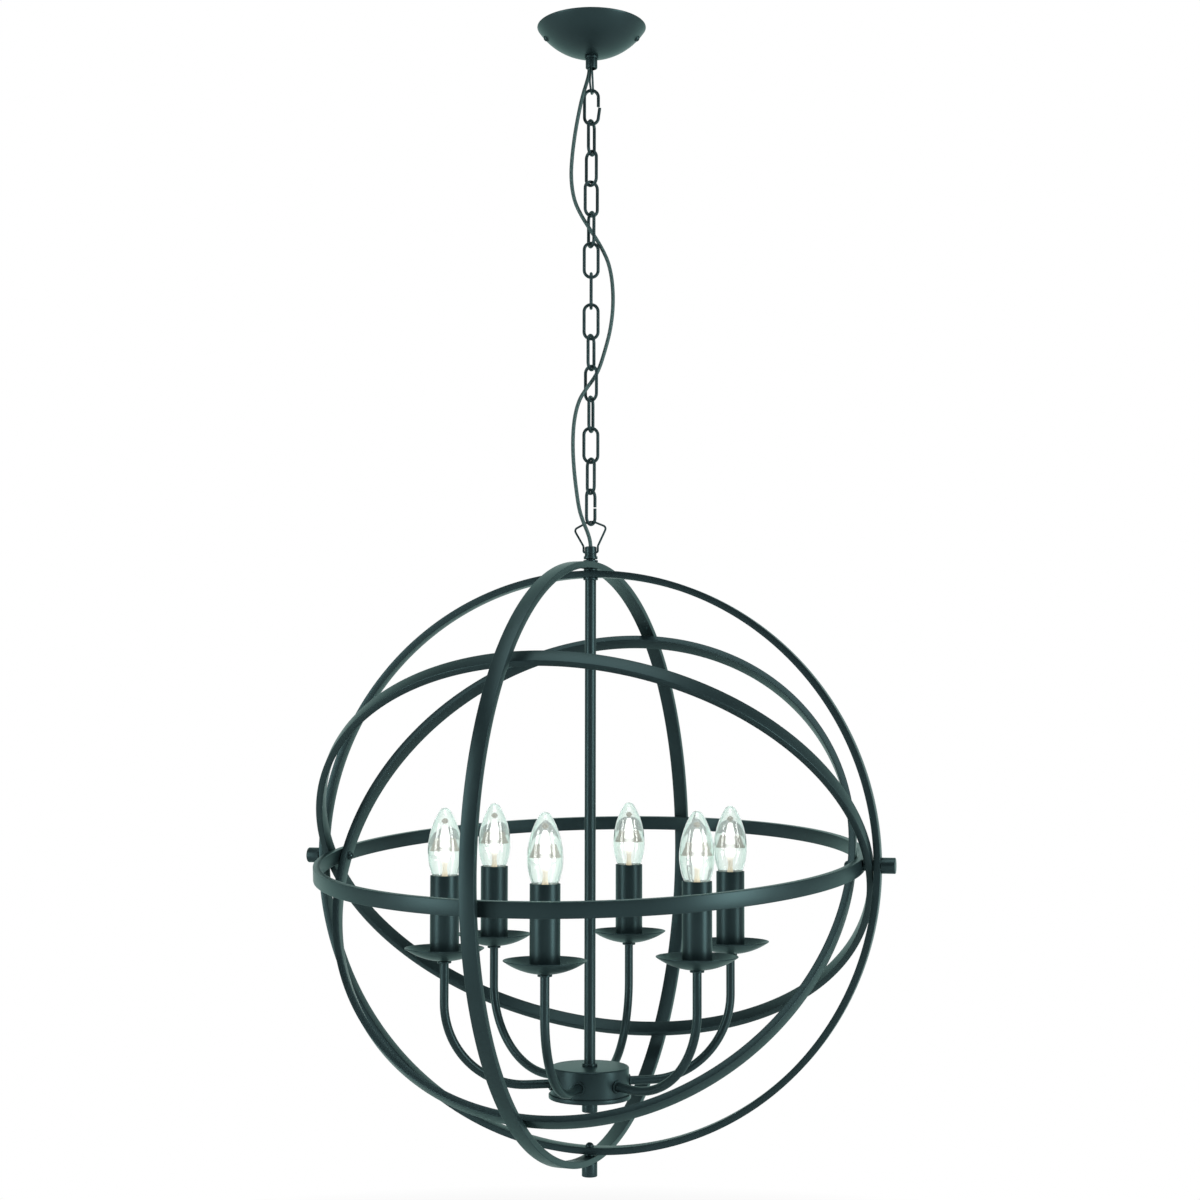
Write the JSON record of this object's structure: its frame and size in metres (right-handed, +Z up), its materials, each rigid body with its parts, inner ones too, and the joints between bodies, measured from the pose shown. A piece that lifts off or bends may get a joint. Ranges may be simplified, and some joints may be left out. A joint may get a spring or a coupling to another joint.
{
  "type": "orb chandelier",
  "caption": "Open sphere of flat metal hoops round a stem, with a ring of candle lamps on curved arms, hung by chain and cord from a domed ceiling canopy.",
  "frame": {"origin": "centre of the ceiling bracket's top face, on the ceiling", "axes": "+Z up towards the ceiling; +X along the hoops' side pivots"},
  "size_m": [0.6284, 0.6166, 1.1987],
  "materials": {
    "slate_paint": "satin dark slate green",
    "cord_jacket": "matt dark grey",
    "bulb_glass": "clear",
    "zinc": "zinc-plated",
    "white_plastic": "matt white",
    "brass": "plain",
    "lead_insulation": "matt",
    "dark_plastic": "matt black"
  },
  "bodies": {
    "canopy": {"canopy_cover": "slate_paint", "ceiling_bracket": "zinc", "canopy_screws": "slate_paint", "canopy_collar": "slate_paint", "canopy_nut": "brass", "canopy_bush": "dark_plastic", "terminal_block": "white_plastic", "canopy_lead": "lead_insulation", "power_cord": "cord_jacket"},
    "top_bail": {"top_bail": "slate_paint"},
    "chain_link_01": {"chain_link_01": "slate_paint"},
    "chain_link_02": {"chain_link_02": "slate_paint"},
    "chain_link_03": {"chain_link_03": "slate_paint"},
    "chain_link_04": {"chain_link_04": "slate_paint"},
    "chain_link_05": {"chain_link_05": "slate_paint"},
    "chain_link_06": {"chain_link_06": "slate_paint"},
    "chain_link_07": {"chain_link_07": "slate_paint"},
    "chain_link_08": {"chain_link_08": "slate_paint"},
    "chain_link_09": {"chain_link_09": "slate_paint"},
    "chain_link_10": {"chain_link_10": "slate_paint"},
    "chain_link_11": {"chain_link_11": "slate_paint"},
    "chain_link_12": {"chain_link_12": "slate_paint"},
    "chain_link_13": {"chain_link_13": "slate_paint"},
    "chain_link_14": {"chain_link_14": "slate_paint"},
    "hanger_bail": {"hanger_bail": "slate_paint"},
    "orb": {"hanger_collar": "slate_paint", "stem_bush": "dark_plastic", "top_nuts": "slate_paint", "meridian_hoop": "slate_paint", "knobs": "slate_paint", "pivot_screws": "slate_paint", "pivot_spacers": "slate_paint", "stem": "slate_paint", "stem_lock_ring": "slate_paint", "hub_body": "slate_paint", "hub_cover": "slate_paint", "hub_finial": "slate_paint", "hub_connector": "white_plastic", "inner_leads": "lead_insulation", "arm_fittings": "slate_paint", "cups": "slate_paint", "cup_nuts": "slate_paint", "sleeves": "slate_paint", "lampholders": "white_plastic", "arm_1": "slate_paint", "arm_2": "slate_paint", "arm_3": "slate_paint", "arm_4": "slate_paint", "arm_5": "slate_paint", "arm_6": "slate_paint"},
    "cross_hoop": {"cross_hoop": "slate_paint"},
    "outer_hoop": {"outer_hoop": "slate_paint"},
    "middle_hoop": {"middle_hoop": "slate_paint"},
    "inner_hoop": {"inner_hoop": "slate_paint"},
    "bulb_1": {"bulb_1": "bulb_glass"},
    "bulb_2": {"bulb_2": "bulb_glass"},
    "bulb_3": {"bulb_3": "bulb_glass"},
    "bulb_4": {"bulb_4": "bulb_glass"},
    "bulb_5": {"bulb_5": "bulb_glass"},
    "bulb_6": {"bulb_6": "bulb_glass"}
  },
  "joints": [
    {"name": "top_bail_swing", "type": "hinge", "parent": "canopy", "child": "top_bail", "pos_m": [0, 0, -0.0385], "axis": [-0.1633, 0.9866, 0], "range_deg": [-12, 12], "deforming": ["power_cord"]},
    {"name": "chain_link_01_swing", "type": "hinge", "parent": "top_bail", "child": "chain_link_01", "pos_m": [0, 0, -0.0707], "axis": [0.1633, -0.9866, 0], "range_deg": [-12, 12], "deforming": ["power_cord"]},
    {"name": "chain_link_02_swing", "type": "hinge", "parent": "chain_link_01", "child": "chain_link_02", "pos_m": [0, 0, -0.10385], "axis": [0.9641, 0.2656, 0], "range_deg": [-12, 12], "deforming": ["power_cord"]},
    {"name": "chain_link_03_swing", "type": "hinge", "parent": "chain_link_02", "child": "chain_link_03", "pos_m": [0, 0, -0.1364], "axis": [-0.1668, -0.986, 0], "range_deg": [-12, 12], "deforming": ["power_cord"]},
    {"name": "chain_link_04_swing", "type": "hinge", "parent": "chain_link_03", "child": "chain_link_04", "pos_m": [0, 0, -0.16895], "axis": [0.878, -0.4787, 0], "range_deg": [-12, 12], "deforming": ["power_cord"]},
    {"name": "chain_link_05_swing", "type": "hinge", "parent": "chain_link_04", "child": "chain_link_05", "pos_m": [0, 0, -0.2015], "axis": [-0.7145, -0.6997, 0], "range_deg": [-12, 12], "deforming": ["power_cord"]},
    {"name": "chain_link_06_swing", "type": "hinge", "parent": "chain_link_05", "child": "chain_link_06", "pos_m": [0, 0, -0.23405], "axis": [-0.6157, 0.788, 0], "range_deg": [-12, 12], "deforming": ["power_cord"]},
    {"name": "chain_link_07_swing", "type": "hinge", "parent": "chain_link_06", "child": "chain_link_07", "pos_m": [0, 0, -0.2666], "axis": [-0.9373, -0.3486, 0], "range_deg": [-12, 12], "deforming": ["power_cord"]},
    {"name": "chain_link_08_swing", "type": "hinge", "parent": "chain_link_07", "child": "chain_link_08", "pos_m": [0, 0, -0.29915], "axis": [-0.2656, 0.9641, 0], "range_deg": [-12, 12], "deforming": ["power_cord"]},
    {"name": "chain_link_09_swing", "type": "hinge", "parent": "chain_link_08", "child": "chain_link_09", "pos_m": [0, 0, -0.3317], "axis": [-0.9641, -0.2656, 0], "range_deg": [-12, 12], "deforming": ["power_cord"]},
    {"name": "chain_link_10_swing", "type": "hinge", "parent": "chain_link_09", "child": "chain_link_10", "pos_m": [0, 0, -0.36425], "axis": [0.1668, 0.986, 0], "range_deg": [-12, 12], "deforming": ["power_cord"]},
    {"name": "chain_link_11_swing", "type": "hinge", "parent": "chain_link_10", "child": "chain_link_11", "pos_m": [0, 0, -0.3968], "axis": [0.9232, -0.3843, 0], "range_deg": [-12, 12], "deforming": ["power_cord"]},
    {"name": "chain_link_12_swing", "type": "hinge", "parent": "chain_link_11", "child": "chain_link_12", "pos_m": [0, 0, -0.42935], "axis": [0.0279, 0.9996, 0], "range_deg": [-12, 12], "deforming": ["power_cord"]},
    {"name": "chain_link_13_swing", "type": "hinge", "parent": "chain_link_12", "child": "chain_link_13", "pos_m": [0, 0, -0.4619], "axis": [-0.9373, -0.3486, 0], "range_deg": [-12, 12], "deforming": ["power_cord"]},
    {"name": "chain_link_14_swing", "type": "hinge", "parent": "chain_link_13", "child": "chain_link_14", "pos_m": [0, 0, -0.49445], "axis": [-0.712, 0.7022, 0], "range_deg": [-12, 12], "deforming": ["power_cord"]},
    {"name": "hanger_bail_swing", "type": "hinge", "parent": "chain_link_14", "child": "hanger_bail", "pos_m": [0, 0, -0.527], "axis": [-0.3681, -0.9298, 0], "range_deg": [-12, 12], "deforming": ["power_cord"]},
    {"name": "orb_swing", "type": "hinge", "parent": "hanger_bail", "child": "orb", "pos_m": [0, 0, -0.55615], "axis": [0.9997, 0.0244, 0], "range_deg": [-12, 12], "deforming": ["power_cord"]},
    {"name": "cross_hoop_turn", "type": "hinge", "parent": "orb", "child": "cross_hoop", "pos_m": [0, 0, -0.8755], "axis": [0, 0, 1], "range_deg": [-79, 90]},
    {"name": "outer_hoop_tilt", "type": "hinge", "parent": "orb", "child": "outer_hoop", "pos_m": [0, 0, -0.8755], "axis": [1, 0, 0], "range_deg": [-39, 42.5]},
    {"name": "middle_hoop_tilt", "type": "hinge", "parent": "orb", "child": "middle_hoop", "pos_m": [0, 0, -0.8755], "axis": [1, 0, 0], "range_deg": [-42.5, 37.5]},
    {"name": "inner_hoop_tilt", "type": "hinge", "parent": "orb", "child": "inner_hoop", "pos_m": [0, 0, -0.8755], "axis": [1, 0, 0], "range_deg": [-37.5, 32]},
    {"name": "bulb_1_release", "type": "slide", "parent": "orb", "child": "bulb_1", "axis": [0, 0, 1], "range_m": [0, 0.024]},
    {"name": "bulb_2_release", "type": "slide", "parent": "orb", "child": "bulb_2", "axis": [0, 0, 1], "range_m": [0, 0.024]},
    {"name": "bulb_3_release", "type": "slide", "parent": "orb", "child": "bulb_3", "axis": [0, 0, 1], "range_m": [0, 0.024]},
    {"name": "bulb_4_release", "type": "slide", "parent": "orb", "child": "bulb_4", "axis": [0, 0, 1], "range_m": [0, 0.024]},
    {"name": "bulb_5_release", "type": "slide", "parent": "orb", "child": "bulb_5", "axis": [0, 0, 1], "range_m": [0, 0.024]},
    {"name": "bulb_6_release", "type": "slide", "parent": "orb", "child": "bulb_6", "axis": [0, 0, 1], "range_m": [0, 0.024]}
  ]
}
